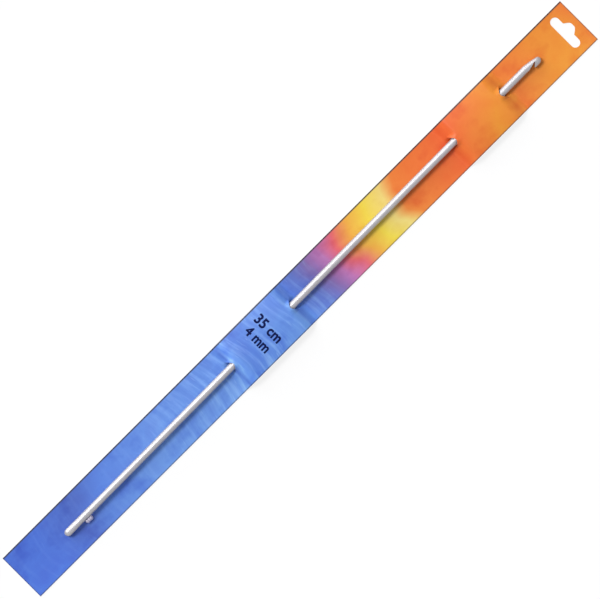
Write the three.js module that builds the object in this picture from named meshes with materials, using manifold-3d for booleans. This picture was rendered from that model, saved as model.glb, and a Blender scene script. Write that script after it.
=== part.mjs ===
// A double-ended tunisian crochet hook on its hanging card, in millimetres, with +Z up.
// The card lies along X, with its foot at -X and its hang slot at +X. Two bridges of the card are raised
// over the hook, which runs over the card's foot, middle and top and can be drawn out towards the foot.
// The origin is the middle of the card's footprint, on the surface that the card lies on.

import * as THREE from "three";
import { mergeVertices } from "three/addons/utils/BufferGeometryUtils.js";
import Module from "manifold-3d";

const wasm = await Module();
wasm.setup();

// Running gap between the hook and everything round it
const CLEARANCE = 0.3;

// Hook: one rod with a hooked head at each end. Head lengths are counted from the tip of the nose.
const HOOK_LENGTH = 350;
const SHAFT_DIAMETER = 4;
const HEAD_LENGTH = 10.5; // where the head runs out into the round shaft
const NOSE_LENGTH = 2.5; // the rounded end of the head
const SPINE_DROP = 1.85; // how far the back of the head would slope in at the very tip
const SPINE_CURVE = 1.45; // the power that the slope of the back follows
const LIP_REACH = 1.25; // how far the lip stands out past the shaft's side
const LIP_END = 5.4; // the lip's free end
const LIP_THICKNESS = 1.0;
const LIP_NARROWING = 0.25; // how much narrower than an oval the head is at its lip
const THROAT_ROOT = 3.1; // the deepest corner of the throat
const THROAT_DEPTH = 1.55; // below the shaft's side
const THROAT_END = 9.5; // where the throat's floor meets the shaft's side
const THROAT_ROUNDING = 0.22; // how much of the floor the rounded corner takes

// Card: one strip of board
const CARD_LENGTH = 410;
const CARD_WIDTH = 28;
const CARD_THICKNESS = 0.5;

// Bridges: each lies between two curved slits, in line with the hook. Places are counted from the card's foot
// to the slits' middles.
const LOWER_BRIDGE_START = 156.6;
const LOWER_BRIDGE_LENGTH = 41.6;
const UPPER_BRIDGE_START = 320.7;
const UPPER_BRIDGE_LENGTH = 32.7;
const BRIDGE_CROWN = 1.2; // how much lower a bridge is at the card's long edges
const SLIT_WIDTH = 8.4; // across the card, between a slit's two ends
const SLIT_BOW = 2.4; // how far a slit's middle bows into its bridge
const SLIT_OPENING = 0.5; // the widest gap between a slit's two lips, seen from above
const TONGUE_FLAT_SHARE = 0.2; // the middle share of a tongue that stays flat
const RAMP_LENGTH = 9; // the bend at each slit, from the flat card up to the bridge
const RAMP_INSET = 0.8; // how far the bend's middle lies inside the slit's ends

// Hang slot: a round-ended slot across the card with a raised notch in its upper side
const HANG_SLOT_LENGTH = 20;
const HANG_SLOT_WIDTH = 5.1;
const HANG_SLOT_EDGE = 7.1; // from the card's top end to the slot's straight upper side
const HANG_SLOT_OFFSET = 0.5; // to +Y of the card's middle line
const HANG_NOTCH_HEIGHT = 3.1;
const HANG_NOTCH_BASE = 8.2;
const HANG_NOTCH_TOP = 3.6; // between its two corners
const HANG_NOTCH_ROUNDING = 0.9; // how far a corner's rounding reaches along the top

// Where the hook lies on the card
const HOOK_FOOT_MARGIN = 31.8; // from the card's foot to the tip of the lower nose
const HOOK_FOOT_OFFSET = -0.6; // the lower nose, across the card
const HOOK_YAW = THREE.MathUtils.degToRad(0.37); // the hook runs slightly askew

// Glue bead beside the hook's lower end
const TACK_FROM_NOSE = 14.6;
const TACK_LENGTH = 4.9;
const TACK_REACH = 2.35; // how far it shows past the shaft's side
const TACK_LOBES = 3;
const TACK_UNDERCUT = 1.1; // how far it reaches in under the shaft
const TACK_CREST = 0.1; // its top, above the hook's axis

// Steps that round forms are drawn with
const RING_SIDES = 40;
const NOSE_RINGS = 9;
const HEAD_RINGS = 12;
const SLIT_COLUMNS = 14;
const EDGE_COLUMNS = 4;
const RAMP_ROWS = 9;
const ARC_STEPS = 10;
const SAME = 1e-9; // what rounding may add to a share

const SHAFT_RADIUS = SHAFT_DIAMETER / 2;
const HALF_HOOK = HOOK_LENGTH / 2;
const HALF_CARD = CARD_LENGTH / 2;
const HALF_WIDTH = CARD_WIDTH / 2;
const HALF_SLIT = SLIT_WIDTH / 2;
const HALF_RAMP = RAMP_LENGTH / 2;

// The hook's axis dips towards the card's top: the lower head's lip faces the card and holds that end up.
const LOWER_AXIS_HEIGHT = CARD_THICKNESS + CLEARANCE + SHAFT_RADIUS + LIP_REACH;
const UPPER_AXIS_HEIGHT = CARD_THICKNESS + CLEARANCE + SHAFT_RADIUS;
const HOOK_PITCH = Math.asin((LOWER_AXIS_HEIGHT - UPPER_AXIS_HEIGHT) / (HOOK_LENGTH - 2 * NOSE_LENGTH));
const HOOK_AXIS = new THREE.Vector3(
  Math.cos(HOOK_PITCH) * Math.cos(HOOK_YAW),
  Math.cos(HOOK_PITCH) * Math.sin(HOOK_YAW),
  -Math.sin(HOOK_PITCH),
);
const LOWER_NOSE = new THREE.Vector3(
  HOOK_FOOT_MARGIN - HALF_CARD,
  HOOK_FOOT_OFFSET,
  LOWER_AXIS_HEIGHT + NOSE_LENGTH * Math.sin(HOOK_PITCH),
);

function hookAxisHeight(x) {
  return LOWER_NOSE.z + ((x - LOWER_NOSE.x) * HOOK_AXIS.z) / HOOK_AXIS.x;
}

function hookAxisSide(x) {
  return LOWER_NOSE.y + ((x - LOWER_NOSE.x) * HOOK_AXIS.y) / HOOK_AXIS.x;
}

function material(color, roughness, metalness) {
  return new THREE.MeshStandardMaterial({ color, roughness, metalness });
}

function namedMesh(name, geometry, look) {
  geometry.computeVertexNormals();
  const mesh = new THREE.Mesh(geometry, look);
  mesh.name = name;
  return mesh;
}

// Solids for joining and cutting

function toSolid(geometry) {
  const bare = geometry.clone();
  bare.deleteAttribute("normal");
  bare.deleteAttribute("uv");
  const merged = mergeVertices(bare, 1e-4);
  return new wasm.Manifold(
    new wasm.Mesh({
      numProp: 3,
      vertProperties: Float32Array.from(merged.attributes.position.array),
      triVerts: Uint32Array.from(merged.index.array),
    }),
  );
}

function fromSolid(solid) {
  const mesh = solid.getMesh();
  const geometry = new THREE.BufferGeometry();
  geometry.setAttribute("position", new THREE.BufferAttribute(Float32Array.from(mesh.vertProperties), 3));
  geometry.setIndex(new THREE.BufferAttribute(Uint32Array.from(mesh.triVerts), 1));
  return geometry;
}

function geometryOf(points, triangles) {
  const geometry = new THREE.BufferGeometry();
  const numbers = points.flatMap((p) => [p.x, p.y, p.z]);
  geometry.setAttribute("position", new THREE.Float32BufferAttribute(numbers, 3));
  geometry.setIndex(triangles);
  return geometry;
}

function smoothstep(from, to, value) {
  return THREE.MathUtils.smoothstep(value, from, to);
}

// Hook. A head is described by its outline in the plane of its lip: the side of the lip and the side of the
// spine, at a distance from the tip of the nose.

// How far the round shaft has turned into the head
function headShare(distance) {
  return 1 - smoothstep(LIP_END, HEAD_LENGTH, distance);
}

function lipSide(distance) {
  return SHAFT_RADIUS + LIP_REACH * headShare(distance);
}

function spineSide(distance) {
  const share = Math.max(0, 1 - Math.max(distance, NOSE_LENGTH) / HEAD_LENGTH);
  return SPINE_DROP * share ** SPINE_CURVE - SHAFT_RADIUS;
}

function noseRounding(distance) {
  const share = 1 - Math.min(distance, NOSE_LENGTH) / NOSE_LENGTH;
  return Math.sqrt(1 - share * share);
}

function headRing(x, distance, lipAngle) {
  const lip = new THREE.Vector2(Math.cos(lipAngle), Math.sin(lipAngle));
  const middle = (lipSide(distance) + spineSide(distance)) / 2;
  const halfDepth = ((lipSide(distance) - spineSide(distance)) / 2) * noseRounding(distance);
  const halfBreadth = SHAFT_RADIUS * noseRounding(distance);
  const narrowing = LIP_NARROWING * headShare(distance);
  return Array.from({ length: RING_SIDES }, (_, i) => {
    const angle = (2 * Math.PI * i) / RING_SIDES - lipAngle;
    const depth = Math.cos(angle) * halfDepth + middle;
    const breadth = Math.sin(angle) * halfBreadth * (1 - narrowing * Math.cos(angle));
    return new THREE.Vector3(x, lip.x * depth - lip.y * breadth, lip.y * depth + lip.x * breadth);
  });
}

function headStations() {
  const nose = Array.from({ length: NOSE_RINGS }, (_, i) => {
    return NOSE_LENGTH * (1 - Math.cos(((i + 1) * Math.PI) / (2 * NOSE_RINGS)));
  });
  const neck = Array.from({ length: HEAD_RINGS }, (_, i) => {
    return NOSE_LENGTH + ((HEAD_LENGTH - NOSE_LENGTH) * (i + 1)) / HEAD_RINGS;
  });
  return [...nose, ...neck];
}

function noseTip(x, lipAngle) {
  const middle = (lipSide(0) + spineSide(0)) / 2;
  return new THREE.Vector3(x, Math.cos(lipAngle) * middle, Math.sin(lipAngle) * middle);
}

// The bare rod with both heads, before the throats are cut, along its own X axis
function rodBlank(lowerLip, upperLip) {
  const stations = headStations();
  const rings = [
    ...stations.map((d) => headRing(d - HALF_HOOK, d, lowerLip)),
    ...stations.toReversed().map((d) => headRing(HALF_HOOK - d, d, upperLip)),
  ];
  const points = [noseTip(-HALF_HOOK, lowerLip), ...rings.flat(), noseTip(HALF_HOOK, upperLip)];
  const last = points.length - 1;
  const at = (ring, side) => 1 + ring * RING_SIDES + (side % RING_SIDES);
  const triangles = [];
  for (let side = 0; side < RING_SIDES; side += 1) {
    triangles.push(0, at(0, side + 1), at(0, side));
    triangles.push(last, at(rings.length - 1, side), at(rings.length - 1, side + 1));
    for (let ring = 0; ring + 1 < rings.length; ring += 1) {
      triangles.push(at(ring, side), at(ring, side + 1), at(ring + 1, side + 1));
      triangles.push(at(ring, side), at(ring + 1, side + 1), at(ring + 1, side));
    }
  }
  return geometryOf(points, triangles);
}

// The throat's outline, in distance from the nose and height towards the lip. It goes round the lip's end,
// in under the lip to the root, and back out along the floor.
function throatOutline() {
  const halfLip = LIP_THICKNESS / 2;
  const lipCentre = new THREE.Vector2(LIP_END - halfLip, SHAFT_RADIUS + LIP_REACH - halfLip);
  const root = new THREE.Vector2(THROAT_ROOT, SHAFT_RADIUS - THROAT_DEPTH);
  const toLip = lipCentre.clone().sub(root);
  const undercut = toLip.angle() - Math.asin(halfLip / toLip.length());
  const top = SHAFT_RADIUS + 2 * LIP_REACH;
  const floorSlope = THROAT_DEPTH / (THROAT_END - THROAT_ROOT);
  const floorTop = THROAT_END + (top - SHAFT_RADIUS) / floorSlope;
  const corner = THROAT_ROUNDING * (THROAT_END - THROAT_ROOT);
  const outline = new THREE.Shape();
  outline.moveTo(floorTop, top);
  outline.lineTo(lipCentre.x, top);
  outline.absarc(lipCentre.x, lipCentre.y, halfLip, Math.PI / 2, undercut - Math.PI / 2, true);
  outline.lineTo(root.x + (corner / 2) * Math.cos(undercut), root.y + (corner / 2) * Math.sin(undercut));
  outline.quadraticCurveTo(root.x, root.y, root.x + corner, root.y + corner * floorSlope);
  outline.closePath();
  return outline;
}

// The cutter, turned to the head whose nose is at the end of X that outward points to
function throatCutter(outward, lipAngle) {
  const breadth = 2 * SHAFT_DIAMETER;
  const cutter = new THREE.ExtrudeGeometry(throatOutline(), {
    depth: breadth,
    bevelEnabled: false,
    curveSegments: ARC_STEPS,
  });
  cutter.translate(0, 0, -breadth / 2);
  const inward = new THREE.Vector3(-outward, 0, 0);
  const towardsLip = new THREE.Vector3(0, Math.cos(lipAngle), Math.sin(lipAngle));
  const across = new THREE.Vector3().crossVectors(inward, towardsLip);
  cutter.applyMatrix4(new THREE.Matrix4().makeBasis(inward, towardsLip, across));
  return cutter.translate(outward * HALF_HOOK, 0, 0);
}

function makeHook() {
  const lowerLip = -Math.PI / 2; // faces the card
  const upperLip = Math.PI; // faces the card's -Y edge
  const solid = toSolid(rodBlank(lowerLip, upperLip))
    .subtract(toSolid(throatCutter(-1, lowerLip)))
    .subtract(toSolid(throatCutter(1, upperLip)));
  return namedMesh("hook", fromSolid(solid), material(0xd9dade, 0.32, 1));
}

// Card. Its middle surface is a height over the plane, with the slits' lips parted by it.

// A slit's chord is where the card bends. into points from the slit into its bridge.
function makeSlit(middle, into) {
  return { chord: middle - into * SLIT_BOW - HALF_CARD, into };
}

function makeBridge(start, length) {
  const entry = makeSlit(start, 1);
  const exit = makeSlit(start + length, -1);
  const axisHeight = Math.max(hookAxisHeight(entry.chord), hookAxisHeight(exit.chord));
  const side = hookAxisSide(start + length / 2 - HALF_CARD);
  return { entry, exit, rise: axisHeight + SHAFT_RADIUS + CLEARANCE, side };
}

const BRIDGES = [
  makeBridge(LOWER_BRIDGE_START, LOWER_BRIDGE_LENGTH),
  makeBridge(UPPER_BRIDGE_START, UPPER_BRIDGE_LENGTH),
];

// Where y lies across a bridge's slits: 0 in their middle, 1 at their ends and more beyond
function slitShare(bridge, y) {
  return Math.abs(y - bridge.side) / HALF_SLIT;
}

function rampShare(slit, x) {
  return smoothstep(RAMP_INSET - HALF_RAMP, RAMP_INSET + HALF_RAMP, slit.into * (x - slit.chord));
}

function bridgeHeight(bridge, x, y, onBridge) {
  const crown = 1 - (BRIDGE_CROWN / bridge.rise) * (y / HALF_WIDTH) ** 2;
  const ramp = rampShare(bridge.entry, x) * rampShare(bridge.exit, x);
  const ending = smoothstep(TONGUE_FLAT_SHARE, 1, slitShare(bridge, y));
  return bridge.rise * crown * (onBridge ? ramp * ending + 1 - ending : ramp * ending);
}

function cardHeight(x, y, bridge) {
  return BRIDGES.reduce((sum, b) => sum + bridgeHeight(b, x, y, b === bridge), CARD_THICKNESS / 2);
}

// How a bridge's slits bow at y, as a share of their bow. They run out level with their chord.
function bowShare(bridge, y) {
  return Math.max(0, 1 - slitShare(bridge, y) ** 2) ** 2;
}

// Rows of the card's net, from its foot to its top. Rows near a slit bow with it, and a slit has two rows,
// one for the tongue and one for the bridge. Each row is stepped like the slits of the bridge named in it.
function cardRows() {
  const rows = [{ x: -HALF_CARD, bow: 0, bridge: null, slits: BRIDGES[0] }];
  const reach = Math.max(HALF_RAMP + RAMP_INSET, 2 * SLIT_BOW) + SLIT_OPENING;
  for (const bridge of BRIDGES) {
    for (const slit of [bridge.entry, bridge.exit]) {
      for (let i = -RAMP_ROWS; i <= RAMP_ROWS; i += 1) {
        const bow = slit.into * SLIT_BOW * (1 - Math.abs(i) / RAMP_ROWS);
        const inside = i * slit.into > 0 ? bridge : null;
        const row = { x: slit.chord + (reach * i) / RAMP_ROWS, bow, bridge: inside, slits: bridge };
        if (i !== 0) {
          rows.push(row);
          continue;
        }
        const sides = slit.into > 0 ? [null, bridge] : [bridge, null];
        sides.forEach((side, k) => {
          rows.push({ ...row, bridge: side, parting: (k - 0.5) * SLIT_OPENING, lip: k === 1 });
        });
      }
    }
  }
  rows.push({ x: HALF_CARD, bow: 0, bridge: null, slits: BRIDGES.at(-1) });
  return rows;
}

function cardColumns(bridge) {
  const stations = [-HALF_WIDTH, bridge.side - HALF_SLIT, bridge.side + HALF_SLIT, HALF_WIDTH];
  const counts = [EDGE_COLUMNS, SLIT_COLUMNS, EDGE_COLUMNS];
  const columns = counts.flatMap((count, k) => {
    return Array.from({ length: count }, (_, i) => {
      return THREE.MathUtils.lerp(stations[k], stations[k + 1], i / count);
    });
  });
  return [...columns, HALF_WIDTH];
}

function cardPoint(row, y) {
  const share = bowShare(row.slits, y);
  const x = row.x + row.bow * share + (row.parting ?? 0) * Math.sqrt(share);
  return new THREE.Vector3(x, y, cardHeight(x, y, row.bridge));
}

function cardNormal(point, bridge) {
  const step = 0.01;
  const slope = (dx, dy) => {
    const ahead = cardHeight(point.x + dx, point.y + dy, bridge);
    return (ahead - cardHeight(point.x - dx, point.y - dy, bridge)) / (2 * step);
  };
  return new THREE.Vector3(-slope(step, 0), -slope(0, step), 1).normalize();
}

// A sheet given by its middle points and normals, made a closed solid of even thickness
function thicken(points, normals, triangles, thickness) {
  const shifted = (share) => points.map((p, i) => p.clone().addScaledVector(normals[i], share * thickness));
  const count = points.length;
  const faces = [...triangles];
  const directed = new Set();
  for (let t = 0; t < triangles.length; t += 3) {
    const corners = triangles.slice(t, t + 3);
    faces.push(corners[0] + count, corners[2] + count, corners[1] + count);
    corners.forEach((a, k) => directed.add(`${a}>${corners[(k + 1) % 3]}`));
  }
  for (const edge of directed) {
    const [a, b] = edge.split(">").map(Number);
    if (!directed.has(`${b}>${a}`)) {
      faces.push(b, a, a + count, b, a + count, b + count);
    }
  }
  return geometryOf([...shifted(0.5), ...shifted(-0.5)], faces);
}

function cardBlank() {
  const rows = cardRows();
  const points = [];
  const normals = [];
  const index = [];
  for (const row of rows) {
    const before = index.at(-1);
    index.push(
      cardColumns(row.slits).map((y, j) => {
        if (row.lip && slitShare(row.slits, y) >= 1 - SAME) {
          return before[j];
        }
        points.push(cardPoint(row, y));
        normals.push(cardNormal(points.at(-1), row.bridge));
        return points.length - 1;
      }),
    );
  }
  const triangles = [];
  for (let i = 0; i + 1 < rows.length; i += 1) {
    if (rows[i + 1].lip) {
      continue;
    }
    for (let j = 0; j + 1 < index[i].length; j += 1) {
      const [a, b, c, d] = [index[i][j], index[i + 1][j], index[i + 1][j + 1], index[i][j + 1]];
      triangles.push(a, b, c, a, c, d);
    }
  }
  return thicken(points, normals, triangles, CARD_THICKNESS);
}

// The slot's outline about the middle of its straight upper side, with the notch towards +X
function hangSlotOutline() {
  const radius = HANG_SLOT_WIDTH / 2;
  const straight = HANG_SLOT_LENGTH / 2 - radius;
  const base = new THREE.Vector2(0, HANG_NOTCH_BASE / 2);
  const corner = new THREE.Vector2(HANG_NOTCH_HEIGHT, HANG_NOTCH_TOP / 2);
  const bend = corner.clone().lerp(base, (2 * HANG_NOTCH_ROUNDING) / HANG_NOTCH_TOP);
  const flat = corner.y - HANG_NOTCH_ROUNDING;
  const outline = new THREE.Shape();
  outline.moveTo(base.x, -base.y);
  outline.lineTo(0, -straight);
  outline.absarc(-radius, -straight, radius, 0, -Math.PI, true);
  outline.lineTo(-HANG_SLOT_WIDTH, straight);
  outline.absarc(-radius, straight, radius, Math.PI, 0, true);
  outline.lineTo(base.x, base.y);
  outline.lineTo(bend.x, bend.y);
  outline.quadraticCurveTo(corner.x, corner.y, corner.x, flat);
  outline.lineTo(corner.x, -flat);
  outline.quadraticCurveTo(corner.x, -corner.y, bend.x, -bend.y);
  outline.closePath();
  return outline;
}

function hangSlotCutter() {
  const cutter = new THREE.ExtrudeGeometry(hangSlotOutline(), {
    depth: 4 * CARD_THICKNESS,
    bevelEnabled: false,
    curveSegments: ARC_STEPS,
  });
  return cutter.translate(HALF_CARD - HANG_SLOT_EDGE, HANG_SLOT_OFFSET, -CARD_THICKNESS);
}

function makeCard() {
  const solid = toSolid(cardBlank()).subtract(toSolid(hangSlotCutter()));
  return namedMesh("hanging_card", fromSolid(solid), material(0x5f86d8, 0.45, 0));
}

// Glue bead, in the hook's own frame: a row of lobes on the hook's -Y side, flat where it meets the card and
// hollowed to the shaft.
function makeGlueTack() {
  const x = TACK_FROM_NOSE - HALF_HOOK;
  const seat = CARD_THICKNESS + CLEARANCE - hookAxisHeight(LOWER_NOSE.x + TACK_FROM_NOSE);
  const halfAcross = (TACK_REACH + TACK_UNDERCUT) / 2;
  const lobeRadius = TACK_LENGTH / (TACK_LOBES + 1);
  const lobes = Array.from({ length: TACK_LOBES }, (_, i) => {
    const lobe = new THREE.SphereGeometry(1, 24, 16);
    lobe.rotateX(Math.PI / 2);
    lobe.scale(lobeRadius, halfAcross, TACK_CREST - seat);
    const along = (i - (TACK_LOBES - 1) / 2) * lobeRadius;
    return toSolid(lobe.translate(x + along, TACK_UNDERCUT - SHAFT_RADIUS - halfAcross, seat));
  });
  const below = new THREE.BoxGeometry(2 * TACK_LENGTH, 4 * halfAcross + SHAFT_DIAMETER, 4 * SHAFT_DIAMETER);
  below.translate(x, -SHAFT_RADIUS, seat - 2 * SHAFT_DIAMETER);
  const shaft = new THREE.CylinderGeometry(
    SHAFT_RADIUS + CLEARANCE, SHAFT_RADIUS + CLEARANCE, 2 * TACK_LENGTH, RING_SIDES,
  );
  shaft.rotateZ(Math.PI / 2).translate(x, 0, 0);
  const solid = lobes.reduce((sum, lobe) => sum.add(lobe)).subtract(toSolid(below)).subtract(toSolid(shaft));
  return namedMesh("glue_tack", fromSolid(solid), material(0xe9e6f2, 0.35, 0));
}

const hookOnCard = new THREE.Group();
hookOnCard.add(makeHook(), makeGlueTack());
hookOnCard.rotation.set(0, HOOK_PITCH, HOOK_YAW, "ZYX");
hookOnCard.position.copy(LOWER_NOSE).addScaledVector(HOOK_AXIS, HALF_HOOK);

const cardedHook = new THREE.Group();
cardedHook.add(makeCard(), hookOnCard);

export default cardedHook;
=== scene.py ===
"""A double-ended tunisian crochet hook on its hanging card, dressed for the camera.

Lengths are in millimetres, as on a drawing, and become metres where a mesh is made. The card lies along X
with its hang slot at +X, its print faces +Z, and the origin is the middle of its footprint.
"""

import math

import bmesh
import bpy
from mathutils import Matrix, Vector


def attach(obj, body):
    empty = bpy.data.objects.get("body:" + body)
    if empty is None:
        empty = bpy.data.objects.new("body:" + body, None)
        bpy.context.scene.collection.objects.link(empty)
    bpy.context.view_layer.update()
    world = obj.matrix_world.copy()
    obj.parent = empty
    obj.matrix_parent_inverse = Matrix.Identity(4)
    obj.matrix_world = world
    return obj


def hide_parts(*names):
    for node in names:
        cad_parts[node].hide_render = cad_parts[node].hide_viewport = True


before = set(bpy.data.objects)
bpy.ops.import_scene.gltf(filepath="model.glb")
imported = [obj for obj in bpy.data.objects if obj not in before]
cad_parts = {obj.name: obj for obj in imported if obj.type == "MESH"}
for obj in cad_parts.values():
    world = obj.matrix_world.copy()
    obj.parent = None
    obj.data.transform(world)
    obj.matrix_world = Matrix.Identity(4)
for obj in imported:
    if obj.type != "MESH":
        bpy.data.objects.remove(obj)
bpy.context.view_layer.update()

MM = 0.001

# Hook. Head lengths are counted from the tip of the nose.
CLEARANCE = 0.3
HOOK_LENGTH = 350.0
SHAFT_RADIUS = 2.0
HEAD_LENGTH = 10.5
NOSE_LENGTH = 2.5
SPINE_DROP = 1.85
SPINE_CURVE = 1.45  # the power of the spine's fall towards the nose
LIP_REACH = 1.25
LIP_END = 5.4
LIP_THICKNESS = 1.0
LIP_NARROWING = 0.25  # of the head's breadth, on the lip's side
THROAT_ROOT = 3.1
THROAT_DEPTH = 1.55
THROAT_END = 9.5
THROAT_ROUNDING = 0.22  # as a share of the throat's slope
EDGE_SOFTNESS = 0.09  # the rounding that polishing leaves on the throat's edges

# Card
CARD_LENGTH = 410.0
CARD_WIDTH = 28.0
CARD_THICKNESS = 0.5
BRIDGE_SPANS = ((156.6, 41.6), (320.7, 32.7))  # start and length, from the card's foot
BRIDGE_CROWN = 1.2
SLIT_WIDTH = 8.4
SLIT_BOW = 2.4
SLIT_OPENING = 0.14  # finer than a solid needs
TONGUE_FLAT_SHARE = 0.2
RAMP_LENGTH = 9.0
RAMP_INSET = 0.8

# Hang slot
HANG_SLOT_LENGTH = 20.0
HANG_SLOT_WIDTH = 5.1
HANG_SLOT_EDGE = 7.1
HANG_SLOT_OFFSET = 0.5
HANG_NOTCH_HEIGHT = 3.1
HANG_NOTCH_BASE = 8.2
HANG_NOTCH_TOP = 3.6
HANG_NOTCH_ROUNDING = 0.9

# Where the hook lies
HOOK_FOOT_MARGIN = 31.8
HOOK_FOOT_OFFSET = -0.6
HOOK_YAW = math.radians(0.37)

# Glue bead
TACK_FROM_NOSE = 14.6
TACK_LENGTH = 4.9
TACK_REACH = 2.35
TACK_LOBES = 3
TACK_UNDERCUT = 1.1
TACK_CREST = 0.1
TACK_FIT = CLEARANCE / 3
TACK_SMOOTHING = 6

# Size marking on the lower bridge: text, low and high along the card, left and right across it
SIZE_LINES = (("35 cm", 179.6, 185.5, 9.3, -8.0), ("4 mm", 171.7, 177.3, 8.6, -7.2))
INK_DEPTH = 0.02
INK_BOLDNESS = 0.03  # outward, as a share of the letters' size
INK_STEP = 1.0
LETTER_STEPS = 6

# Steps that round forms are drawn with
RING_SIDES = 96
NOSE_RINGS = 18
HEAD_RINGS = 36
SLIT_COLUMNS = 40
EDGE_COLUMNS = 12
RAMP_ROWS = 22
ARC_STEPS = 16
SOFT_EDGE_STEPS = 3
LOBE_SIDES = 40
LOBE_RINGS = 28
LOBE_GRAIN = 0.07  # the bead's lobes are run together on a grid this fine

# Limits
SLIVER = 0.002  # shorter edges are cleared away
TOUCHING = 1e-6  # points this near a line lie on it
LETTER_CUT_MARGIN = 1e-4
SLOPE_STEP = 0.01  # how far to each side the board's slope is taken from
HOOK_CREASE = 40  # degrees between faces, from which an edge is sharp
CARD_CREASE = 50
TACK_CREASE = 50

HALF_HOOK = HOOK_LENGTH / 2
HALF_CARD = CARD_LENGTH / 2
HALF_WIDTH = CARD_WIDTH / 2
HALF_SLIT = SLIT_WIDTH / 2
HALF_RAMP = RAMP_LENGTH / 2
LOWER_AXIS_HEIGHT = CARD_THICKNESS + CLEARANCE + SHAFT_RADIUS + LIP_REACH
UPPER_AXIS_HEIGHT = CARD_THICKNESS + CLEARANCE + SHAFT_RADIUS
HOOK_PITCH = math.asin((LOWER_AXIS_HEIGHT - UPPER_AXIS_HEIGHT) / (HOOK_LENGTH - 2 * NOSE_LENGTH))
HOOK_TURN = Matrix.Rotation(HOOK_YAW, 4, "Z") @ Matrix.Rotation(HOOK_PITCH, 4, "Y")
HOOK_AXIS = HOOK_TURN @ Vector((1, 0, 0))
LOWER_NOSE = Vector((
    HOOK_FOOT_MARGIN - HALF_CARD,
    HOOK_FOOT_OFFSET,
    LOWER_AXIS_HEIGHT + NOSE_LENGTH * math.sin(HOOK_PITCH),
))
HOOK_PLACE = Matrix.Translation(LOWER_NOSE + HOOK_AXIS * HALF_HOOK) @ HOOK_TURN


def hook_axis_height(x):
    return LOWER_NOSE.z + (x - LOWER_NOSE.x) * HOOK_AXIS.z / HOOK_AXIS.x


def hook_axis_side(x):
    return LOWER_NOSE.y + (x - LOWER_NOSE.x) * HOOK_AXIS.y / HOOK_AXIS.x


def smoothstep(low, high, value):
    share = min(max((value - low) / (high - low), 0.0), 1.0)
    return share * share * (3 - 2 * share)


def lerp(a, b, share):
    return a + (b - a) * share


# Objects

def add_object(name, points, faces, place=Matrix.Identity(4)):
    """A mesh object from points in millimetres, which place moves first."""
    mesh = bpy.data.meshes.new(name)
    mesh.from_pydata([tuple((place @ Vector(p)) * MM) for p in points], [], faces)
    mesh.validate()
    obj = bpy.data.objects.new(name, mesh)
    bpy.context.collection.objects.link(obj)
    return obj


def settle(obj):
    """Makes the mesh what its modifiers show."""
    shown = obj.evaluated_get(bpy.context.evaluated_depsgraph_get())
    mesh = bpy.data.meshes.new_from_object(shown)
    obj.modifiers.clear()
    obj.data = mesh
    mesh.name = obj.name


def cut(obj, other):
    """Cuts other out of obj, and removes it."""
    step = obj.modifiers.new("cut", "BOOLEAN")
    step.operation = "DIFFERENCE"
    step.solver = "EXACT"
    step.object = other
    settle(obj)
    bpy.data.objects.remove(other)


def clear_slivers(obj):
    """Dissolves the faces and edges that cutting left too thin to see."""
    edit = bmesh.new()
    edit.from_mesh(obj.data)
    bmesh.ops.dissolve_degenerate(edit, edges=edit.edges, dist=SLIVER * MM)
    edit.to_mesh(obj.data)
    edit.free()


def shade(obj, crease_degrees):
    """Smooth shading, with a crease where faces meet at more than the angle."""
    edit = bmesh.new()
    edit.from_mesh(obj.data)
    bmesh.ops.recalc_face_normals(edit, faces=edit.faces)
    for face in edit.faces:
        face.smooth = True
    for edge in edit.edges:
        edge.smooth = edge.calc_face_angle(math.pi) < math.radians(crease_degrees)
    edit.to_mesh(obj.data)
    edit.free()


def extruded(name, outline, depth, place):
    """A closed prism over an outline, from depth below its plane to depth above it."""
    count = len(outline)
    area = sum(a[0] * b[1] - b[0] * a[1] for a, b in zip(outline, outline[1:] + outline[:1]))
    if area < 0:
        outline = outline[::-1]
    points = [(x, y, z) for z in (-depth, depth) for x, y in outline]
    sides = [(i, (i + 1) % count, (i + 1) % count + count, i + count) for i in range(count)]
    caps = [tuple(reversed(range(count))), tuple(range(count, 2 * count))]
    return add_object(name, points, sides + caps, place)


def arc(centre, radius, start, end):
    """Points round a circle from one angle to another."""
    angles = [lerp(start, end, i / ARC_STEPS) for i in range(ARC_STEPS + 1)]
    return [(centre[0] + radius * math.cos(a), centre[1] + radius * math.sin(a)) for a in angles]


def bend(start, corner, end):
    """Points along a quadratic curve that rounds a corner."""
    shares = [i / ARC_STEPS for i in range(ARC_STEPS + 1)]
    return [
        tuple(
            (1 - t) ** 2 * a + 2 * t * (1 - t) * b + t * t * c for a, b, c in zip(start, corner, end)
        )
        for t in shares
    ]


# Hook

def head_share(distance):
    """How far the round shaft has turned into the head."""
    return 1 - smoothstep(LIP_END, HEAD_LENGTH, distance)


def lip_side(distance):
    return SHAFT_RADIUS + LIP_REACH * head_share(distance)


def spine_side(distance):
    share = max(0.0, 1 - max(distance, NOSE_LENGTH) / HEAD_LENGTH)
    return SPINE_DROP * share**SPINE_CURVE - SHAFT_RADIUS


def nose_rounding(distance):
    share = 1 - min(distance, NOSE_LENGTH) / NOSE_LENGTH
    return math.sqrt(1 - share * share)


def head_ring(x, distance, lip_angle):
    middle = (lip_side(distance) + spine_side(distance)) / 2
    half_depth = (lip_side(distance) - spine_side(distance)) / 2 * nose_rounding(distance)
    half_breadth = SHAFT_RADIUS * nose_rounding(distance)
    narrowing = LIP_NARROWING * head_share(distance)
    ring = []
    for i in range(RING_SIDES):
        angle = math.tau * i / RING_SIDES - lip_angle
        depth = math.cos(angle) * half_depth + middle
        breadth = math.sin(angle) * half_breadth * (1 - narrowing * math.cos(angle))
        y = math.cos(lip_angle) * depth - math.sin(lip_angle) * breadth
        z = math.sin(lip_angle) * depth + math.cos(lip_angle) * breadth
        ring.append((x, y, z))
    return ring


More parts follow.
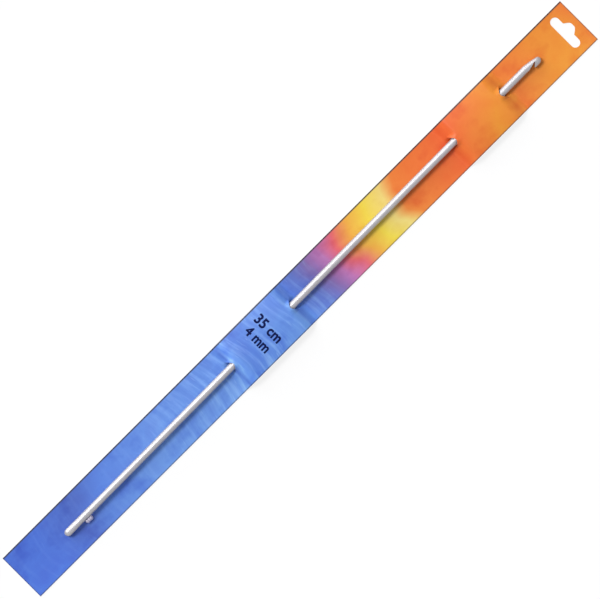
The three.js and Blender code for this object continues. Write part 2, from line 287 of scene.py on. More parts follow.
def rod_blank(lower_lip, upper_lip):
    """The bare rod with both heads, before their throats are cut."""
    nose = [NOSE_LENGTH * (1 - math.cos((i + 1) * math.pi / 2 / NOSE_RINGS)) for i in range(NOSE_RINGS)]
    neck = [lerp(NOSE_LENGTH, HEAD_LENGTH, (i + 1) / HEAD_RINGS) for i in range(HEAD_RINGS)]
    stations = nose + neck
    rings = [head_ring(d - HALF_HOOK, d, lower_lip) for d in stations]
    rings += [head_ring(HALF_HOOK - d, d, upper_lip) for d in reversed(stations)]
    tip = (lip_side(0) + spine_side(0)) / 2
    points = [p for ring in rings for p in ring]
    points.append((-HALF_HOOK, math.cos(lower_lip) * tip, math.sin(lower_lip) * tip))
    points.append((HALF_HOOK, math.cos(upper_lip) * tip, math.sin(upper_lip) * tip))
    first, last = len(points) - 2, len(points) - 1
    top = (len(rings) - 1) * RING_SIDES
    faces = []
    for side in range(RING_SIDES):
        after = (side + 1) % RING_SIDES
        faces.append((first, after, side))
        faces.append((last, top + side, top + after))
        for base in range(0, top, RING_SIDES):
            faces.append((base + side, base + after, base + RING_SIDES + after, base + RING_SIDES + side))
    return add_object("crochet_hook", points, faces, HOOK_PLACE)


def throat_outline():
    """Distance from the nose and height towards the lip, round the lip's end to the root and out."""
    half_lip = LIP_THICKNESS / 2
    centre = Vector((LIP_END - half_lip, SHAFT_RADIUS + LIP_REACH - half_lip))
    root = Vector((THROAT_ROOT, SHAFT_RADIUS - THROAT_DEPTH))
    to_lip = centre - root
    undercut = math.atan2(to_lip.y, to_lip.x) - math.asin(half_lip / to_lip.length)
    top = SHAFT_RADIUS + 2 * LIP_REACH
    slope = THROAT_DEPTH / (THROAT_END - THROAT_ROOT)
    corner = THROAT_ROUNDING * (THROAT_END - THROAT_ROOT)
    inner = (root.x + corner / 2 * math.cos(undercut), root.y + corner / 2 * math.sin(undercut))
    outer = (root.x + corner, root.y + corner * slope)
    return [
        (THROAT_END + (top - SHAFT_RADIUS) / slope, top),
        (centre.x, top),
        *arc(centre, half_lip, math.pi / 2, undercut - math.pi / 2),
        *bend(inner, tuple(root), outer),
    ]


def throat_cutter(outward, lip_angle):
    inward = Vector((-outward, 0, 0))
    towards_lip = Vector((0, math.cos(lip_angle), math.sin(lip_angle)))
    turn = Matrix((inward, towards_lip, inward.cross(towards_lip))).transposed().to_4x4()
    place = HOOK_PLACE @ Matrix.Translation((outward * HALF_HOOK, 0, 0)) @ turn
    past_the_rod = 4 * SHAFT_RADIUS
    return extruded("throat", throat_outline(), past_the_rod, place)


def soften_edges(obj, width, crease_degrees):
    step = obj.modifiers.new("soften", "BEVEL")
    step.width = width * MM
    step.segments = SOFT_EDGE_STEPS
    step.limit_method = "ANGLE"
    step.angle_limit = math.radians(crease_degrees)
    step.use_clamp_overlap = True
    settle(obj)


def make_hook():
    lower_lip, upper_lip = -math.pi / 2, math.pi
    hook = rod_blank(lower_lip, upper_lip)
    cut(hook, throat_cutter(-1, lower_lip))
    cut(hook, throat_cutter(1, upper_lip))
    soften_edges(hook, EDGE_SOFTNESS, HOOK_CREASE)
    clear_slivers(hook)
    shade(hook, HOOK_CREASE)
    return hook


# Card

def make_slit(middle, into):
    """A slit bends the card at its chord. into points from the slit into its bridge."""
    return {"chord": middle - into * SLIT_BOW - HALF_CARD, "into": into}


def make_bridge(start, length):
    entry, leave = make_slit(start, 1), make_slit(start + length, -1)
    height = max(hook_axis_height(entry["chord"]), hook_axis_height(leave["chord"]))
    side = hook_axis_side(start + length / 2 - HALF_CARD)
    return {"entry": entry, "exit": leave, "rise": height + SHAFT_RADIUS + CLEARANCE, "side": side}


BRIDGES = [make_bridge(*span) for span in BRIDGE_SPANS]


def slit_share(bridge, y):
    """Where y lies across a bridge's slits: 0 in their middle, 1 at their ends and more beyond."""
    return abs(y - bridge["side"]) / HALF_SLIT


def bow_share(bridge, y):
    """How a slit bows at y, as a share of its bow. It runs out level with its chord."""
    return max(0.0, 1 - slit_share(bridge, y) ** 2) ** 2


def ramp_share(slit, x):
    return smoothstep(RAMP_INSET - HALF_RAMP, RAMP_INSET + HALF_RAMP, slit["into"] * (x - slit["chord"]))


def bridge_height(bridge, x, y, on_bridge):
    crown = 1 - BRIDGE_CROWN / bridge["rise"] * (y / HALF_WIDTH) ** 2
    ramp = ramp_share(bridge["entry"], x) * ramp_share(bridge["exit"], x)
    ending = smoothstep(TONGUE_FLAT_SHARE, 1, slit_share(bridge, y))
    return bridge["rise"] * crown * (ramp * ending + (1 - ending if on_bridge else 0))


def card_height(x, y, bridge):
    """The height of the board's middle, on a bridge or, where bridge is None, off them."""
    return CARD_THICKNESS / 2 + sum(bridge_height(b, x, y, b is bridge) for b in BRIDGES)


def card_normal(x, y, bridge):
    rise_x = card_height(x + SLOPE_STEP, y, bridge) - card_height(x - SLOPE_STEP, y, bridge)
    rise_y = card_height(x, y + SLOPE_STEP, bridge) - card_height(x, y - SLOPE_STEP, bridge)
    return Vector((-rise_x, -rise_y, 2 * SLOPE_STEP)).normalized()


def card_rows():
    """Rows of the card's net from foot to top. A slit has two rows, the second of which is a lip."""
    rows = [{"x": -HALF_CARD, "bow": 0, "bridge": None, "slits": BRIDGES[0]}]
    reach = max(HALF_RAMP + RAMP_INSET, 2 * SLIT_BOW) + SLIT_OPENING
    for bridge in BRIDGES:
        for slit in (bridge["entry"], bridge["exit"]):
            for i in range(-RAMP_ROWS, RAMP_ROWS + 1):
                bow = slit["into"] * SLIT_BOW * (1 - abs(i) / RAMP_ROWS)
                inside = bridge if i * slit["into"] > 0 else None
                x = slit["chord"] + reach * i / RAMP_ROWS
                row = {"x": x, "bow": bow, "bridge": inside, "slits": bridge}
                if i != 0:
                    rows.append(row)
                    continue
                sides = (None, bridge) if slit["into"] > 0 else (bridge, None)
                rows.append({**row, "bridge": sides[0], "parting": -SLIT_OPENING / 2})
                rows.append({**row, "bridge": sides[1], "parting": SLIT_OPENING / 2, "lip": True})
    rows.append({"x": HALF_CARD, "bow": 0, "bridge": None, "slits": BRIDGES[-1]})
    return rows


def card_columns(bridge):
    """Steps across the card, closer together between the ends of a bridge's slits."""
    stations = (-HALF_WIDTH, bridge["side"] - HALF_SLIT, bridge["side"] + HALF_SLIT, HALF_WIDTH)
    counts = (EDGE_COLUMNS, SLIT_COLUMNS, EDGE_COLUMNS)
    columns = []
    for start, end, count in zip(stations, stations[1:], counts):
        columns += [lerp(start, end, i / count) for i in range(count)]
    return columns + [HALF_WIDTH]


def card_net():
    """The points, normals and faces of the board's middle surface."""
    points, normals, index, faces = [], [], [], []
    rows = card_rows()
    for row in rows:
        line = []
        for j, y in enumerate(card_columns(row["slits"])):
            if row.get("lip") and slit_share(row["slits"], y) > 1 - TOUCHING:
                line.append(index[-1][j])
                continue
            bow = bow_share(row["slits"], y)
            x = row["x"] + row["bow"] * bow + row.get("parting", 0) * math.sqrt(bow)
            points.append(Vector((x, y, card_height(x, y, row["bridge"]))))
            normals.append(card_normal(x, y, row["bridge"]))
            line.append(len(points) - 1)
        index.append(line)
    for i, (below, above) in enumerate(zip(index, index[1:])):
        if rows[i + 1].get("lip"):
            continue
        for j in range(len(below) - 1):
            faces.append((below[j], above[j], above[j + 1], below[j + 1]))
    return points, normals, faces


def on_outline(point):
    return abs(point.x) > HALF_CARD - TOUCHING or abs(point.y) > HALF_WIDTH - TOUCHING


def thickened(name, points, normals, faces, thickness):
    """A sheet with a face, a back and cut edges, in material slots 0, 1 and 2.

    A slit's lips look like the face.
    """
    count = len(points)
    solid = [p + n * side * thickness / 2 for side in (1, -1) for p, n in zip(points, normals)]
    ways = {way for face in faces for way in zip(face, face[1:] + face[:1])}
    backs = [tuple(i + count for i in reversed(face)) for face in faces]
    edges = [(b, a, a + count, b + count) for a, b in sorted(ways) if (b, a) not in ways]
    sheet = add_object(name, solid, faces + backs + edges)
    rims = [2 if on_outline(points[a]) and on_outline(points[b]) else 0 for b, a, _, _ in edges]
    kinds = [0] * len(faces) + [1] * len(backs) + rims
    sheet.data.polygons.foreach_set("material_index", kinds)
    return sheet


def hang_slot_outline():
    radius = HANG_SLOT_WIDTH / 2
    straight = HANG_SLOT_LENGTH / 2 - radius
    corner = Vector((HANG_NOTCH_HEIGHT, HANG_NOTCH_TOP / 2))
    base = Vector((0, HANG_NOTCH_BASE / 2))
    start = corner.lerp(base, 2 * HANG_NOTCH_ROUNDING / HANG_NOTCH_TOP)
    rounded = bend(tuple(start), tuple(corner), (corner.x, corner.y - HANG_NOTCH_ROUNDING))
    notch = [tuple(base)] + rounded
    return [
        *[(x, -y) for x, y in reversed(notch)],
        *arc((-radius, -straight), radius, 0, -math.pi),
        *arc((-radius, straight), radius, math.pi, 0),
        *notch,
    ]


def make_card(face, back, edge):
    card = thickened("printed_card", *card_net(), CARD_THICKNESS)
    place = Matrix.Translation((HALF_CARD - HANG_SLOT_EDGE, HANG_SLOT_OFFSET, 0))
    cutter = extruded("hang_slot", hang_slot_outline(), 2 * CARD_THICKNESS, place)
    for obj in (card, cutter):
        for look in (face, back, edge):
            obj.data.materials.append(look)
    for polygon in cutter.data.polygons:
        polygon.material_index = 2
    cut(card, cutter)
    shade(card, CARD_CREASE)
    return card


# Size marking

def flat_text(text):
    """The letters as one flat mesh, open for editing."""
    curve = bpy.data.curves.new("size_text", "FONT")
    curve.body = text
    curve.resolution_u = LETTER_STEPS
    lettering = bpy.data.objects.new("size_text", curve)
    bpy.context.collection.objects.link(lettering)
    shown = lettering.evaluated_get(bpy.context.evaluated_depsgraph_get())
    edit = bmesh.new()
    edit.from_mesh(bpy.data.meshes.new_from_object(shown))
    bpy.data.objects.remove(lettering)
    return edit


def embolden(edit, width):
    """Moves the outline of a flat mesh outward, without spikes at corners sharper than square."""
    sides = {}
    for edge in edit.edges:
        if edge.is_boundary:
            loop = edge.link_loops[0]
            along = loop.link_loop_next.vert.co - loop.vert.co
            for vert in edge.verts:
                sides.setdefault(vert, []).append(Vector((along.y, -along.x, 0)).normalized())
    for vert, (a, b) in sides.items():
        vert.co += (a + b) * width / (1 + max(a.dot(b), 0.0))


def cut_into_strips(edit, right, left):
    """Cuts a flat mesh lengthwise, so that it can follow the bridge's curve across the card."""
    strips = math.ceil((left - right) / INK_STEP)
    for i in range(1, strips):
        bmesh.ops.bisect_plane(
            edit,
            geom=[*edit.verts, *edit.edges, *edit.faces],
            dist=LETTER_CUT_MARGIN,
            plane_co=(0, lerp(right, left, i / strips), 0),
            plane_no=(0, 1, 0),
        )


def make_size_line(text, low, high, left, right):
    """Ink that follows the lower bridge, fitted between its limits along and across the card."""
    edit = flat_text(text)
    embolden(edit, INK_BOLDNESS)
    xs = [vert.co.x for vert in edit.verts]
    ys = [vert.co.y for vert in edit.verts]
    first, last = min(xs), max(xs)
    bottom, top = min(ys), max(ys)
    for vert in edit.verts:
        x = lerp(low, high, (vert.co.y - bottom) / (top - bottom)) - HALF_CARD
        y = lerp(left, right, (vert.co.x - first) / (last - first))
        vert.co = (x, y, 0)
    cut_into_strips(edit, right, left)
    bmesh.ops.remove_doubles(edit, verts=edit.verts, dist=SLIVER)
    edit.verts.index_update()
    points = []
    normals = []
    for vert in edit.verts:
        surface = card_height(vert.co.x, vert.co.y, BRIDGES[0]) + CARD_THICKNESS / 2
        points.append(Vector((vert.co.x, vert.co.y, surface)))
        normals.append(card_normal(vert.co.x, vert.co.y, BRIDGES[0]))
    faces = [tuple(vert.index for vert in face.verts) for face in edit.faces]
    edit.free()
    return thickened("size_mark_" + text.replace(" ", "_"), points, normals, faces, INK_DEPTH)


# Glue bead

def make_glue_bead():
    """Rounded lobes on the hook's side, run together, flat where they meet the card."""
    x = TACK_FROM_NOSE - HALF_HOOK
    seat = CARD_THICKNESS + CLEARANCE - hook_axis_height(LOWER_NOSE.x + TACK_FROM_NOSE)
    half_across = (TACK_REACH + TACK_UNDERCUT) / 2
    lobe_radius = TACK_LENGTH / (TACK_LOBES + 1)
    edit = bmesh.new()
    for i in range(TACK_LOBES):
        along = (i - (TACK_LOBES - 1) / 2) * lobe_radius
        centre = Matrix.Translation((x + along, TACK_UNDERCUT - SHAFT_RADIUS - half_across, seat))
        size = Matrix.Diagonal((lobe_radius, half_across, TACK_CREST - seat, 1))
        place = centre @ size
        bmesh.ops.create_uvsphere(
            edit, u_segments=LOBE_SIDES, v_segments=LOBE_RINGS, radius=1, matrix=place
        )
    edit.transform(Matrix.Scale(MM, 4) @ HOOK_PLACE)
    mesh = bpy.data.meshes.new("glue_bead")
    edit.to_mesh(mesh)
    edit.free()
    bead = bpy.data.objects.new("glue_bead", mesh)
    bpy.context.collection.objects.link(bead)
    run = bead.modifiers.new("run", "REMESH")
    run.mode = "VOXEL"
    run.voxel_size = LOBE_GRAIN * MM
    smooth = bead.modifiers.new("smooth", "SMOOTH")
    smooth.factor = 0.5
    smooth.iterations = TACK_SMOOTHING
    settle(bead)
    reach = TACK_LENGTH
    square = [(-reach, -reach), (reach, -reach), (reach, reach), (-reach, reach)]
    under_seat = HOOK_PLACE @ Matrix.Translation((x, -SHAFT_RADIUS, seat - reach))
    cut(bead, extruded("below", square, reach, under_seat))
    ring = arc((0, 0), SHAFT_RADIUS + TACK_FIT, 0, math.tau)[:-1]
    turn = Matrix.Translation((x, 0, 0)) @ Matrix.Rotation(math.pi / 2, 4, "Y")
    shaft = extruded("shaft", ring, TACK_LENGTH, HOOK_PLACE @ turn)
    cut(bead, shaft)
    clear_slivers(bead)
    shade(bead, TACK_CREASE)
    return bead


# Materials. Colours are as seen, 0 to 255. Grains are scales along and across the card and upwards.

NOISE_RANGE = (0.3, 0.7)  # where most of a noise's values lie
ALL = (0, 1)
COLOUR_MIX_INPUTS = (0, 6, 7)  # a mix node's factor and two colours, among its sockets of all kinds
COLOUR_MIX_OUTPUT = 2

METAL_DARK = (174, 172, 176)
METAL_LIGHT = (180, 178, 182)
METAL_MARK = (148, 146, 152)
METAL_ROUGHNESS = (0.36, 0.48)
DRAWN_GRAIN = (22, 3200, 3200)
DRAWN_MARKS = (0.58, 0.74)  # the grain's values where a mark starts and is full
MARK_STRENGTH = 0.35

BOARD_BACK_TONES = ((206, 203, 198), (182, 178, 172))
CUT_EDGE_TONES = ((232, 230, 226), (196, 193, 188))
BOARD_GRAIN = (1500, 500, 1500)

GLUE_TONES = ((228, 222, 236), (210, 203, 226))
INK_TONES = ((6, 14, 62), (12, 24, 78))
FLOOR_TONE = (252, 252, 252)
ROOM_TONE = (250, 250, 255)
WHITE = (255, 255, 255)

# The print's colours
DEEP_BLUE = (70, 110, 206)
DUSK_BLUE = (74, 104, 190)
BLUE = (87, 129, 214)
LIGHT_BLUE = (102, 146, 221)
SLATE = (92, 112, 190)
VIOLET = (122, 102, 166)
ROSE = (180, 110, 170)
CORAL = (222, 98, 104)
AMBER = (232, 170, 66)
GOLD = (234, 210, 70)
PALE_GOLD = (232, 208, 120)
ORANGE = (229, 126, 50)
RED_ORANGE = (228, 98, 44)
LIGHT_ORANGE = (229, 142, 46)
RIPPLE_LIGHT = (146, 188, 244)
RIPPLE_DARK = (70, 106, 200)
SPARK = (164, 206, 248)
CLOUD_LIGHT = (170, 150, 150)
CLOUD_DARK = (92, 80, 100)
RIM_TONE = (40, 38, 48)

# Where the print reaches each colour, in millimetres from the card's foot
BLEND = (
    (0, DEEP_BLUE),
    (20, DEEP_BLUE),
    (45, DUSK_BLUE),
    (62, BLUE),
    (100, LIGHT_BLUE),
    (150, LIGHT_BLUE),
    (163, BLUE),
    (190, LIGHT_BLUE),
    (202, BLUE),
    (214, SLATE),
    (222, VIOLET),
    (232, ROSE),
    (241, CORAL),
    (250, AMBER),
    (262, GOLD),
    (274, PALE_GOLD),
    (282, ORANGE),
    (318, RED_ORANGE),
    (334, ORANGE),
    (346, LIGHT_ORANGE),
    (362, ORANGE),
    (384, LIGHT_ORANGE),
    (400, LIGHT_ORANGE),
    (410, ORANGE),
)
BLEND_GRAIN = (45, 60, 1)
BLEND_WANDER = 9.0  # in millimetres, as is the waves' height
WAVE_HEIGHT = 3.2
WAVE_ACROSS = 150.0  # radians per metre
WAVE_ALONG = 24.0

# How strong the ripples are, from the card's foot, and the values between which each kind shows
RIPPLE_STRENGTH = ((0, 0.07), (95, 0.14), (118, 0.62), (165, 0.8), (202, 0.5), (226, 0.1), (240, 0.0))
RIPPLE_GRAIN = (330, 32, 1)
SPARK_GRAIN = (800, 120, 1)
LIGHT_RIPPLES = (0.50, 0.72)
DARK_RIPPLES = (0.50, 0.30)
SPARKS = (0.62, 0.78)

CLOUD_GRAIN = (60, 75, 1)
LIGHT_CLOUDS = (0.50, 0.72)
DARK_CLOUDS = (0.50, 0.28)

# Painted shade and painted light at the folds: dark lines for the shade in the creases and beyond the
# bridges' edges, lighter strips for the light on the ramps. Places from the card's foot and tones there,
# where a half is no mark
FOLD_SHADE_AND_LIGHT = (
    (151.5, 0.50),
    (152.6, 0.56),
    (153.8, 0.50),
    (154.9, 0.28),
    (156.0, 0.54),
    (157.2, 0.66),
    (159.6, 0.68),
    (161.4, 0.50),
    (196.2, 0.50),
    (198.0, 0.68),
    (199.8, 0.50),
    (201.0, 0.40),
    (202.0, 0.54),
    (203.2, 0.61),
    (204.6, 0.50),
    (316.6, 0.50),
    (317.4, 0.42),
    (318.4, 0.50),
    (320.2, 0.57),
    (322.0, 0.50),
    (352.0, 0.50),
    (353.2, 0.56),
    (354.0, 0.50),
    (354.8, 0.36),
    (355.7, 0.50),
    (356.9, 0.64),
    (359.2, 0.50),
)
SIDE_LIGHT_AND_SHADE = (0.56, 0.45)  # painted light towards the card's -Y edge and painted shade towards its +Y edge, against the lamps' shading across the card; values at the -Y and +Y edges, where a half is no change

# The dark lines along the card's edges: where one starts and is full, from the card's edge, and how dark it
# is
FAR_RIM = (0.95, 0.55, 0.92)
NEAR_RIM = (0.65, 0.3, 0.7)
END_RIM = (0.6, 0.25, 0.6)


def linear(srgb):
    """A colour as seen, 0 to 255, in the renderer's own scale."""
    shares = [value / 255 for value in srgb]
    return (*[s / 12.92 if s <= 0.04045 else ((s + 0.055) / 1.055) ** 2.4 for s in shares], 1)


class Look:
    """A material under construction: a Principled shader and the nodes that feed it."""

    def __init__(self, name, **values):
        self.material = bpy.data.materials.new(name)
        self.material.use_nodes = True
        self.tree = self.material.node_tree
        self.shader = self.tree.nodes["Principled BSDF"]
        for key, value in values.items():
            self.shader.inputs[key.replace("_", " ")].default_value = value
        self.where = self.tree.nodes.new("ShaderNodeTexCoord").outputs["Object"]

    def feed(self, name, socket):
        self.tree.links.new(socket, self.shader.inputs[name])

    def put(self, value, place):
        """Links a socket to an input, or writes a value into it."""
        if isinstance(value, bpy.types.NodeSocket):
            self.tree.links.new(value, place)
        else:
            place.default_value = value

    def node(self, kind, settings, *values, **named):
        """A node with its settings, and values or sockets for its inputs in their order or by name."""
        node = self.tree.nodes.new(kind)
        for key, value in settings.items():
            setattr(node, key, value)
        for place, value in [*enumerate(values), *named.items()]:
            self.put(value, node.inputs[place])
        return node

    def math(self, operation, a, b=0.0):
        return self.node("ShaderNodeMath", {"operation": operation}, a, b).outputs[0]

    def stretched(self, grain, source=None):
        return self.node("ShaderNodeMapping", {}, source or self.where, Scale=grain).outputs[0]

    def noise(self, where, scale=1.0, detail=2.0, roughness=0.5):
        node = self.node(
            "ShaderNodeTexNoise", {}, Vector=where, Scale=scale, Detail=detail, Roughness=roughness
        )
        return node.outputs["Fac"]

    def ramp(self, socket, stops):
        node = self.node("ShaderNodeValToRGB", {}, socket)
        elements = node.color_ramp.elements
        while len(elements) < len(stops):
            elements.new(1.0)
        for element, (position, colour) in zip(elements, stops):
            element.position = position
            element.color = colour
        return node.outputs[0]

    def mix(self, share, a, b, blend="MIX"):
        node = self.node("ShaderNodeMix", {"data_type": "RGBA", "blend_type": blend, "clamp_result": True})
        for place, value in zip(COLOUR_MIX_INPUTS, (share, a, b)):
            self.put(value, node.inputs[place])
        return node.outputs[COLOUR_MIX_OUTPUT]

    def span(self, socket, source, target):
        """Maps a socket from one pair of values to another, and holds it between them."""
        return self.node("ShaderNodeMapRange", {}, socket, *source, *target).outputs[0]

    def bump(self, height, strength, distance):
        node = self.node("ShaderNodeBump", {}, Strength=strength, Distance=distance * MM, Height=height)
        self.feed("Normal", node.outputs[0])


def metal_look():
    """Satin anodised aluminium, with the fine lengthwise marks of a drawn rod."""
    look = Look("satin_aluminium", Metallic=0.5, IOR=1.5)
    drawn = look.noise(look.stretched(DRAWN_GRAIN), detail=3.0, roughness=0.6)
    cloud = look.noise(look.where, scale=240.0)
    tone = look.mix(look.span(cloud, NOISE_RANGE, ALL), linear(METAL_DARK), linear(METAL_LIGHT))
    marks = look.span(drawn, DRAWN_MARKS, (0, MARK_STRENGTH))
    look.feed("Base Color", look.mix(marks, tone, linear(METAL_MARK)))
    look.feed("Roughness", look.span(drawn, NOISE_RANGE, METAL_ROUGHNESS))
    look.bump(drawn, strength=0.25, distance=0.01)
    return look.material


def along_card(stops):
    """Colour ramp stops from millimetres and colours or tones."""
    ends = []
    for place, value in stops:
        colour = linear(value) if isinstance(value, tuple) else (value, value, value, 1)
        ends.append((place / CARD_LENGTH, colour))
    return ends


def card_span(look, x):
    """How far x is along the card, from 0 at its foot to 1 at its top."""
    return look.span(x, (-HALF_CARD * MM, HALF_CARD * MM), ALL)


def blended_ink(look, x, wave):
    """The base colours, whose borders wave and wander."""
    drift = look.math("SUBTRACT", look.noise(look.stretched(BLEND_GRAIN)), 0.5)
    wander = look.math("MULTIPLY", drift, BLEND_WANDER * MM)
    at = look.math("ADD", look.math("ADD", x, wander), wave)
    return look.ramp(card_span(look, at), along_card(BLEND))


def with_ripples(look, inked, x, y, wave):
    """Soft light and dark ripples and a few sparks over the cool colours."""
    cool = look.ramp(card_span(look, x), along_card(RIPPLE_STRENGTH))
    flow = look.math("ADD", x, look.math("MULTIPLY", wave, 0.5))
    flowing = look.node("ShaderNodeCombineXYZ", {}, flow, y).outputs[0]
    ripple = look.noise(look.stretched(RIPPLE_GRAIN, flowing), detail=3.0)
    glint = look.noise(look.stretched(SPARK_GRAIN, flowing))
    for source, shown, strength, colour in (
        (ripple, LIGHT_RIPPLES, 0.75, RIPPLE_LIGHT),
        (ripple, DARK_RIPPLES, 0.50, RIPPLE_DARK),
        (glint, SPARKS, 0.50, SPARK),
    ):
        share = look.math("MULTIPLY", look.span(source, shown, (0, strength)), cool)
        inked = look.mix(share, inked, linear(colour))
    return inked


def with_clouds(look, inked):
    """Faint lighter and darker clouds over all of the print."""
    cloud = look.noise(look.stretched(CLOUD_GRAIN), detail=3.0, roughness=0.55)
    inked = look.mix(look.span(cloud, LIGHT_CLOUDS, (0, 0.45)), inked, linear(CLOUD_LIGHT), "SOFT_LIGHT")
    return look.mix(look.span(cloud, DARK_CLOUDS, (0, 0.55)), inked, linear(CLOUD_DARK), "SOFT_LIGHT")


def rim_share(look, outward, edge, rim):
    start, full, strength = rim
    return look.span(outward, ((edge - start) * MM, (edge - full) * MM), (0, strength))


def rim_shares(look, x, y):
    """How dark the print is along the card's edges."""
    far = rim_share(look, y, HALF_WIDTH, FAR_RIM)
    near = rim_share(look, look.math("MULTIPLY", y, -1.0), HALF_WIDTH, NEAR_RIM)
    ends = rim_share(look, look.math("ABSOLUTE", x), HALF_CARD, END_RIM)
    return look.math("MAXIMUM", look.math("MAXIMUM", far, near), ends)


def print_look():
    """Coated board with a blended print, from blue at the foot through violet and gold to orange."""
    look = Look("printed_face", IOR=1.45, Specular_IOR_Level=0.36)
    place = look.node("ShaderNodeSeparateXYZ", {}, look.where)
    x, y = place.outputs[0], place.outputs[1]
    phase = look.math("ADD", look.math("MULTIPLY", y, WAVE_ACROSS), look.math("MULTIPLY", x, WAVE_ALONG))
    wave = look.math("MULTIPLY", look.math("SINE", phase), WAVE_HEIGHT * MM)

    inked = with_ripples(look, blended_ink(look, x, wave), x, y, wave)
    inked = with_clouds(look, inked)
    # Overlays painted shade in the folds' creases and beyond the bridges' edges, and painted light on the
    # ramps
    inked = look.mix(1.0, inked, look.ramp(card_span(look, x), along_card(FOLD_SHADE_AND_LIGHT)), "OVERLAY")
    # Painted light over the -Y side and painted shade over the +Y side, which evens out the rod's shade
    # from the low lamp
    across = look.span(y, (-HALF_WIDTH * MM, HALF_WIDTH * MM), SIDE_LIGHT_AND_SHADE)
    inked = look.mix(1.0, inked, across, "OVERLAY")
    look.feed("Base Color", look.mix(rim_shares(look, x, y), inked, linear(RIM_TONE)))

    fibre = look.noise(look.where, scale=2600.0, detail=3.0)
    look.feed("Roughness", look.span(fibre, NOISE_RANGE, (0.40, 0.50)))
    look.bump(fibre, strength=0.03, distance=0.02)
    return look.material


def board_look(name, tones, roughness):
    """Uncoated board with fibres and flecks."""
    look = Look(name, Roughness=roughness, IOR=1.45)
    light, dark = (linear(tone) for tone in tones)
    fibre = look.noise(look.stretched(BOARD_GRAIN), detail=4.0, roughness=0.65)
    fleck = look.noise(look.where, scale=900.0)
    tone = look.mix(look.span(fibre, (0.35, 0.65), ALL), light, dark)
    look.feed("Base Color", look.mix(look.span(fleck, (0.62, 0.70), (0, 0.5)), tone, dark))
    look.bump(fibre, strength=0.25, distance=0.04)
    return look.material


def clouded_look(name, tones, scale, detail, **values):
    """An even material whose colour drifts between two tones."""
    look = Look(name, **values)
    cloud = look.noise(look.where, scale, detail)
    light, dark = (linear(tone) for tone in tones)
    look.feed("Base Color", look.mix(look.span(cloud, NOISE_RANGE, ALL), light, dark))
    return look.material


def glue_look():
    return clouded_look("set_glue", GLUE_TONES, 500.0, 1.0, Roughness=0.28, IOR=1.48, Coat_Weight=0.2)


def ink_look():
    return clouded_look("dark_ink", INK_TONES, 1200.0, 2.0, Roughness=0.8, IOR=1.4, Specular_IOR_Level=0.15)


def seen_directly(tree):
    """A socket that is 1 to the camera and in reflections, and 0 to the light that falls on things."""
    rays = tree.nodes.new("ShaderNodeLightPath")
    seen = rays.outputs["Is Camera Ray"]
    for kind in ("Is Glossy Ray", "Is Transmission Ray"):
        either = tree.nodes.new("ShaderNodeMath")
        either.operation = "MAXIMUM"
        tree.links.new(seen, either.inputs[0])
        tree.links.new(rays.outputs[kind], either.inputs[1])
        seen = either.outputs[0]
    return seen


def blend_shaders(tree, share, first, second, output):
    """Shows the second shader by a share and the first by the rest."""
    blend = tree.nodes.new("ShaderNodeMixShader")
    for place, socket in enumerate((share, first, second)):
        tree.links.new(socket, blend.inputs[place])
    tree.links.new(blend.outputs[0], tree.nodes[output].inputs["Surface"])


def floor_look():
    """White to the camera and in reflections, and still darkened by the object's shadow."""
    look = Look("white_floor", Roughness=0.9, Specular_IOR_Level=0.0, Base_Color=linear(FLOOR_TONE))
    glow = look.node("ShaderNodeEmission", {}, Strength=1.0)
    share = look.math("MULTIPLY", seen_directly(look.tree), FLOOR_GLOW)
    blend_shaders(look.tree, share, look.shader.outputs[0], glow.outputs[0], "Material Output")
    return look.material


# Stage

FLOOR_GLOW = 0.8
FLOOR_SIZE = 6.0
FLOOR_DROP = 0.05
# Lamps: name, turn from +X, elevation, strength and apparent size, all angles in degrees
LAMPS = (
    ("key", 112, 56, 2.16, 24),
    ("reflector", 94, 8, 2.1, 60),
)
WORLD_STRENGTH = 0.38

CAMERA_DISTANCE = 3.0
CAMERA_REACH = 20
CAMERA_TURN = math.radians(-45)
FRAME_PIXELS = 600
PIXELS_PER_MM = 1.9225
CARD_IN_FRAME = (0.25, 0.7)  # the card's middle from the frame's middle, in pixels, right and up
SENSOR = 36.0


def make_floor():
    half = FLOOR_SIZE / 2 / MM
    corners = [(-half, -half), (half, -half), (half, half), (-half, half)]
    floor = add_object("floor", [(x, y, -FLOOR_DROP) for x, y in corners], [(0, 1, 2, 3)])
    floor.data.materials.append(floor_look())


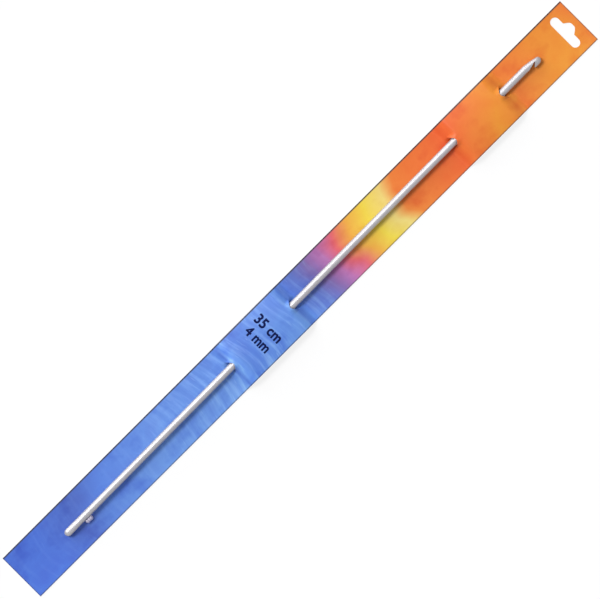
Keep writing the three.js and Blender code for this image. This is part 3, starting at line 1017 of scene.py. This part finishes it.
def make_world():
    """A pale room that lights the object, white to the camera and in reflections."""
    world = bpy.data.worlds.new("studio")
    bpy.context.scene.world = world
    world.use_nodes = True
    tree = world.node_tree
    room = tree.nodes["Background"]
    room.inputs["Color"].default_value = linear(ROOM_TONE)
    room.inputs["Strength"].default_value = WORLD_STRENGTH
    white = tree.nodes.new("ShaderNodeBackground")
    white.inputs["Color"].default_value = linear(WHITE)
    blend_shaders(tree, seen_directly(tree), room.outputs[0], white.outputs[0], "World Output")


def make_lamps():
    for name, turn, elevation, strength, width in LAMPS:
        light = bpy.data.lights.new(name, "SUN")
        light.energy = strength
        light.angle = math.radians(width)
        lamp = bpy.data.objects.new(name, light)
        bpy.context.collection.objects.link(lamp)
        tilt = math.radians(90 - elevation)
        lamp.rotation_euler = (0, tilt, math.radians(turn))


def make_camera():
    """Straight down through a long lens, turned so that the card runs up to the right."""
    data = bpy.data.cameras.new("camera")
    data.sensor_fit = "HORIZONTAL"
    data.sensor_width = SENSOR
    data.lens = SENSOR * CAMERA_DISTANCE / MM / (FRAME_PIXELS / PIXELS_PER_MM)
    data.clip_end = CAMERA_REACH
    camera = bpy.data.objects.new("camera", data)
    bpy.context.collection.objects.link(camera)
    turn = Matrix.Rotation(CAMERA_TURN, 4, "Z")
    offset = Vector((-CARD_IN_FRAME[0], -CARD_IN_FRAME[1], 0)) / PIXELS_PER_MM * MM
    eye = turn @ offset + Vector((0, 0, CAMERA_DISTANCE + CARD_THICKNESS * MM))
    camera.matrix_world = Matrix.Translation(eye) @ turn
    bpy.context.scene.camera = camera


def main():
    bpy.context.scene.view_settings.view_transform = "Standard"
    make_camera()
    make_floor()
    make_world()
    make_lamps()

    hook = make_hook()
    hook.data.materials.clear()
    hook.data.materials.append(metal_look())
    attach(hook, "hook")
    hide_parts("hook")

    back = board_look("board_back", BOARD_BACK_TONES, 0.8)
    edge = board_look("board_edge", CUT_EDGE_TONES, 0.85)
    card = make_card(print_look(), back, edge)
    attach(card, "card")
    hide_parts("hanging_card")

    ink = ink_look()
    for line in SIZE_LINES:
        mark = make_size_line(*line)
        mark.data.materials.append(ink)
        mark.data.polygons.foreach_set("material_index", [0] * len(mark.data.polygons))
        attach(mark, "card")

    bead = make_glue_bead()
    bead.data.materials.clear()
    bead.data.materials.append(glue_look())
    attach(bead, "hook")
    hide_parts("glue_tack")


main()
